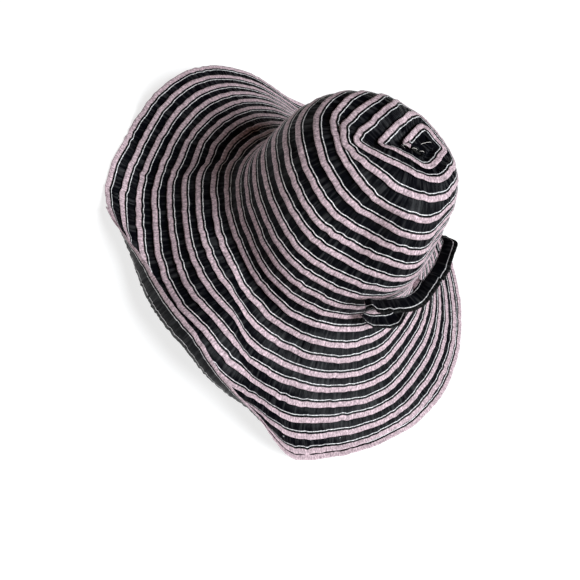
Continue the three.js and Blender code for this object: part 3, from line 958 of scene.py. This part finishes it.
# %% Make the bow's strips
def bow_strip(name, stations, node, seed):
    """A ribbon strip between its foot line and its free edge, its pink edge partly folded under."""
    foot, free = bow_edges(stations)
    length = length_along((foot + free) / 2)
    across = unit(free - foot)
    normal = unit(np.cross(np.gradient(foot + free, axis=0), across))
    share = np.linspace(0, 1, BOW_STEPS)
    span = pinched_share(share, *BOW_PINCHES[node])
    hem_start, hem_full, foot_off, arch_height = BOW_FOLDS[node]
    hem = BOW_HEM * smooth_step(share, hem_start, hem_full)[:, None]
    v = section_v[None, :]
    folded = np.maximum(hem - v, 0)
    place = foot_off + span[:, None] * (np.maximum(v, hem) + HEM_BACK_SHARE * folded)
    wave = BOW_WAVE * wave_along(length + BOW_WAVES_APART * seed, BOW_WAVE_LENGTH, seed)[:, None]
    wave = wave * (BOW_WAVE_AT_FOOT + (v / RIBBON_WIDTH) ** 2)
    arch = arch_height * np.sin(math.pi * v / RIBBON_WIDTH)
    under = np.where(folded > 0, HEM_GAP + HEM_GAP_GROWTH * folded, 0)
    lift = wave + arch - under + section_side[None, :] * RIBBON_THICKNESS / 2
    on_width = foot[:, None, :] + across[:, None, :] * place[..., None]
    grid = (on_width + normal[:, None, :] * lift[..., None] - MIDDLE) * MM
    uv = np.stack(np.broadcast_arrays(length[:, None] * MM, v * MM), -1)
    faces = strip_faces(BOW_STEPS, len(section_v))
    strip = link_mesh(name, grid.reshape(-1, 3), faces, uv.reshape(-1, 2))
    strip.data.materials.append(GROSGRAIN)
    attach(strip, "root")
    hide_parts(node)
    print(name, "length in mm: %.0f" % length[-1])
    return strip


bow_pieces = [bow_strip(node.replace("bow_", "bow_ribbon_"), stations, node, seed)
              for seed, (node, stations) in enumerate(BOW.items(), start=FIRST_BOW_SEED)]
print("strips in the bow:", len(bow_pieces))

# %% [markdown]
# ## Floor and light
# The hat lies on plain pale paper under one large soft lamp, as in a small photo studio. The lamp
# stands at the right and high up. It is a disk, so the shadows that it throws have soft edges, and the
# weak glow of the room fills them. The paper goes far past the photograph's frame, so that its own
# edge stays out of that picture.

# %% Floor
FLOOR_SIZE = 6.0
FLOOR_DROP = 0.2
# Uncoated paper scatters light evenly. A light table under it keeps the shadow on it faint
PAPER_COLOUR = "8c8c8c"
PAPER_ROUGHNESS = 0.9
GLOW_COLOUR = "ffffff"
FLOOR_GLOW = 0.78


def plain_floor():
    """A square of paper in metres, just under the brim."""
    corners = np.array([(-1, -1, 0), (1, -1, 0), (1, 1, 0), (-1, 1, 0)]) * FLOOR_SIZE / 2
    corners[:, 2] = -FLOOR_DROP * MM
    floor = link_mesh("floor", corners, [np.array([[0, 1, 2, 3]])])
    material = bpy.data.materials.new("matt_white_paper")
    material.use_nodes = True
    shader = material.node_tree.nodes["Principled BSDF"]
    shader.inputs["Base Color"].default_value = srgb(PAPER_COLOUR)
    shader.inputs["Roughness"].default_value = PAPER_ROUGHNESS
    shader.inputs["Emission Color"].default_value = srgb(GLOW_COLOUR)
    shader.inputs["Emission Strength"].default_value = FLOOR_GLOW
    floor.data.materials.append(material)


plain_floor()
print("floor in metres:", FLOOR_SIZE)

# %% Lights
# Places and size in metres, power in watts. The lamp is a little cool, the room's glow warm and weak
KEY_PLACE = (2.1, -0.35, 3.35)
KEY_TARGET = (0, 0, 0.05)
KEY_SIZE = 1.9
KEY_POWER = 256
KEY_COLOUR = "f6fbff"
ROOM_COLOUR = "ffc79a"
ROOM_STRENGTH = 0.05


def area_light(name, place, target, size, power, colour):
    """A round soft lamp that points at the target."""
    lamp = bpy.data.lights.new(name, "AREA")
    lamp.shape = "DISK"
    lamp.size = size
    lamp.energy = power
    lamp.color = srgb(colour)[:3]
    light = bpy.data.objects.new(name, lamp)
    light.location = place
    way = np.array(target) - np.array(place)
    yaw = math.atan2(way[1], way[0]) - math.pi / 2
    pitch = math.atan2(math.hypot(way[0], way[1]), -way[2])
    light.rotation_euler = (pitch, 0, yaw)
    bpy.context.scene.collection.objects.link(light)
    print(name, "watts:", power)


area_light("soft_key", KEY_PLACE, KEY_TARGET, KEY_SIZE, KEY_POWER, KEY_COLOUR)
world = bpy.data.worlds.new("studio")
world.use_nodes = True
background = world.node_tree.nodes["Background"]
background.inputs["Color"].default_value = srgb(ROOM_COLOUR)
background.inputs["Strength"].default_value = ROOM_STRENGTH
bpy.context.scene.world = world
bpy.context.scene.view_settings.view_transform = "Standard"

# %% [markdown]
# ## The camera
# The camera stands in front of the hat, looks down on it and is rolled, so that the hat lies aslant
# in the frame. Its directions are worked out first, as right, up and ahead, because a roll only turns
# the first two. The camera's matrix then holds them and its place, so it needs no rotation angles.

# %% Camera at the photograph's angle
# In millimetres and degrees. The shift moves the camera left and down in a frame rolled by SHIFT_ROLL.
# These values are a least-squares fit of the hat to the photograph, made by another script
CAMERA_DISTANCE = 494.1
CAMERA_ELEVATION = 51.30
CAMERA_ROLL = 50.51
CAMERA_SHIFT = (5.94, 148.77)
SHIFT_ROLL = 11.51
FOCAL_SHARE = 1.1011
SENSOR_WIDTH = 36.0
NEAR_CLIP = 10.0


def rolled(right, up, degrees):
    """The right and up directions of a frame turned by some degrees."""
    c, s = math.cos(math.radians(degrees)), math.sin(math.radians(degrees))
    return right * c + up * s, up * c - right * s


def photo_camera():
    """A camera in front of the hat that looks down on it, moved aside and rolled."""
    elevation = math.radians(CAMERA_ELEVATION)
    right = np.array([1.0, 0.0, 0.0])
    up = np.array([0.0, math.sin(elevation), math.cos(elevation)])
    ahead = np.array([0.0, math.cos(elevation), -math.sin(elevation)])
    shift_right, shift_up = rolled(right, up, SHIFT_ROLL)
    x_axis, y_axis = rolled(right, up, CAMERA_ROLL)
    centre = -ahead * CAMERA_DISTANCE
    centre = centre - CAMERA_SHIFT[0] * shift_right
    centre = centre - CAMERA_SHIFT[1] * shift_up
    lens = bpy.data.cameras.new("photo_camera")
    lens.lens = SENSOR_WIDTH * FOCAL_SHARE
    lens.sensor_width = SENSOR_WIDTH
    lens.clip_start = NEAR_CLIP * MM
    camera = bpy.data.objects.new("photo_camera", lens)
    matrix = np.eye(4)
    matrix[:3, 0], matrix[:3, 1], matrix[:3, 2] = x_axis, y_axis, -ahead
    matrix[:3, 3] = (centre - MIDDLE) * MM
    camera.matrix_world = [list(line) for line in matrix.T]
    bpy.context.scene.collection.objects.link(camera)
    bpy.context.scene.camera = camera
    print("camera at mm:", (matrix[:3, 3] / MM).round(0), "above the floor")


photo_camera()
